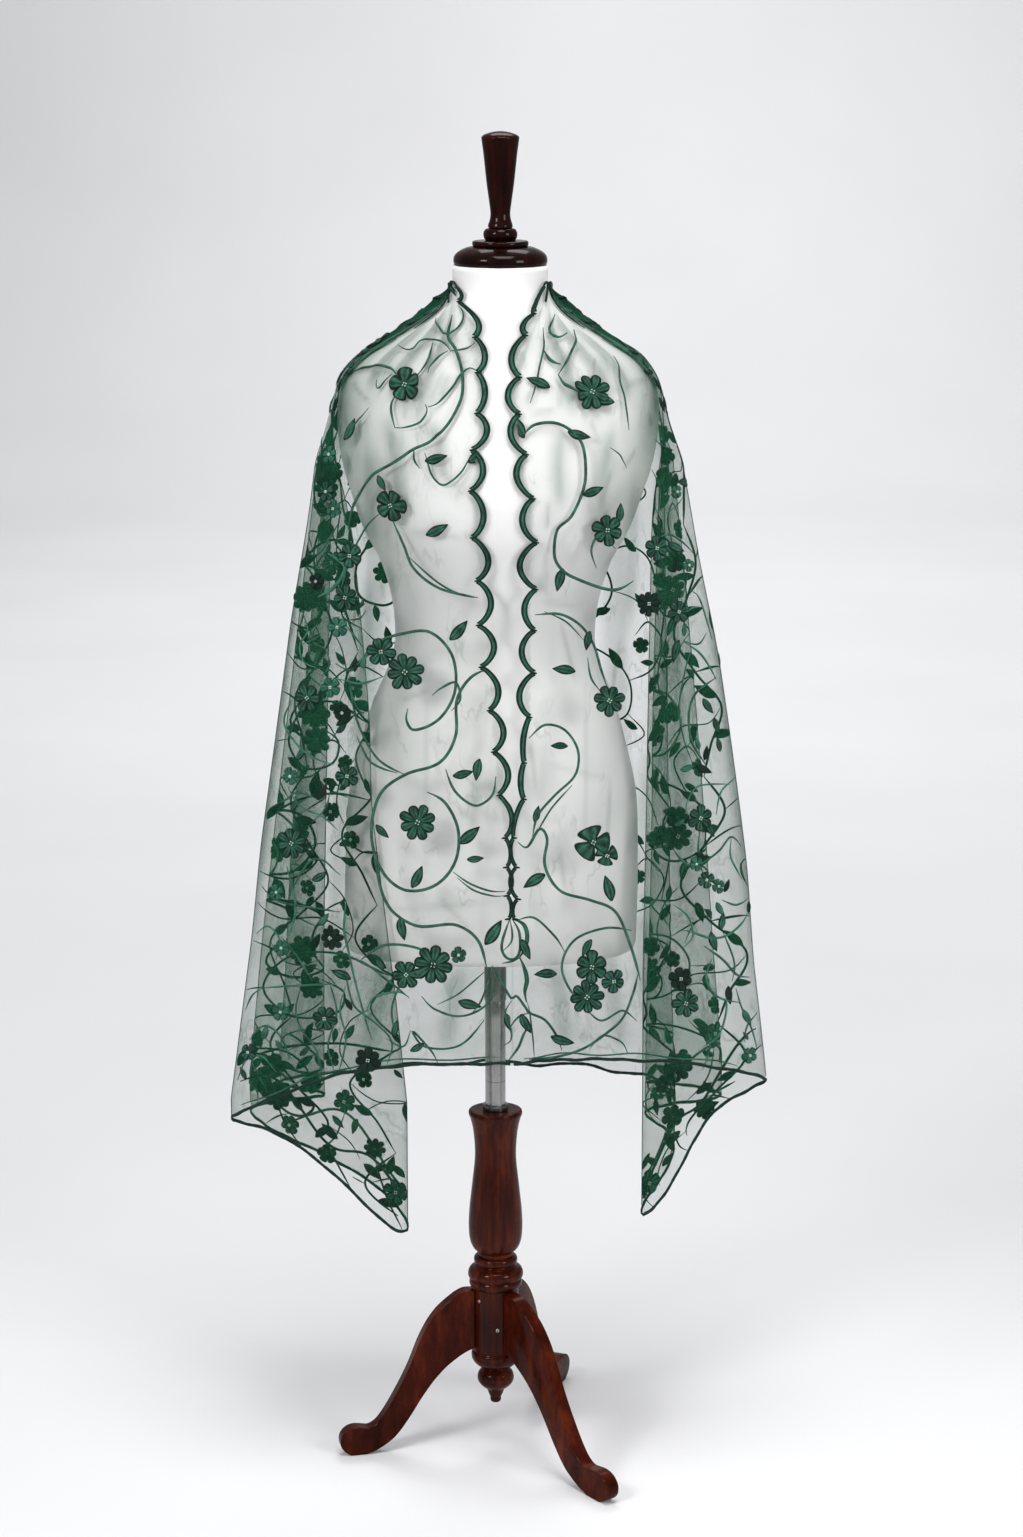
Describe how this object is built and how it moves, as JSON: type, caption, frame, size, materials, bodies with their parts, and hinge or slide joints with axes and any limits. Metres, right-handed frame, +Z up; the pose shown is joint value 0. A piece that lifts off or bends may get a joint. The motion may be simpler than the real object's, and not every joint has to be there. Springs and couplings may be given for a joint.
{
  "type": "net dupatta on limbless dress form stand",
  "caption": "Sheer green embroidered net dupatta with scalloped edges, draped over the shoulders of a limbless white dress form on a turned wooden tripod stand.",
  "frame": {"origin": "on the floor, under the middle of the whole object's box", "axes": "+Z up, -Y towards the front opening of the dupatta, +X to the viewer's right"},
  "size_m": [0.646, 0.4272, 1.625],
  "materials": {
    "form_cover": "smooth white jersey cover, matt",
    "dark_wood": "dark mahogany stain under gloss lacquer",
    "steel": "drawn steel tube, satin",
    "green_net": "sheer bottle green net",
    "green_thread": "satin embroidery thread with a slight sheen"
  },
  "bodies": {
    "root": {"column": "dark_wood", "dress_form": "form_cover", "flower_chest_left": "green_thread", "flower_chest_right": "green_thread", "flower_hem_left": "green_thread", "flower_hem_right": "green_thread", "flower_hip_left": "green_thread", "flower_hip_right": "green_thread", "flower_low_right": "green_thread", "flower_shoulder_left": "green_thread", "flower_shoulder_right": "green_thread", "flower_waist_left": "green_thread", "flower_waist_right": "green_thread", "hem_cord_left": "green_thread", "hem_cord_right": "green_thread", "hub_and_finial": "dark_wood", "leg_1": "dark_wood", "leg_2": "dark_wood", "leg_3": "dark_wood", "neck_cap": "dark_wood", "net_left_back_fall": "green_net", "net_left_back_fold": "green_net", "net_left_corner_fold": "green_net", "net_left_front_fall": "green_net", "net_left_inner_fold": "green_net", "net_left_side_fold": "green_net", "net_right_back_fall": "green_net", "net_right_back_fold": "green_net", "net_right_corner_fold": "green_net", "net_right_front_fall": "green_net", "net_right_inner_fold": "green_net", "net_right_side_fold": "green_net", "pole": "steel", "pole_sleeve": "steel", "scalloped_border_left": "green_thread", "scalloped_border_right": "green_thread", "vine_bust_left": "green_thread", "vine_bust_right": "green_thread", "vine_hip_left": "green_thread", "vine_hip_right": "green_thread", "vine_neck_left": "green_thread", "vine_skirt_left": "green_thread", "vine_skirt_right": "green_thread", "vine_waist_left": "green_thread", "vine_waist_right": "green_thread"}
  },
  "joints": []
}
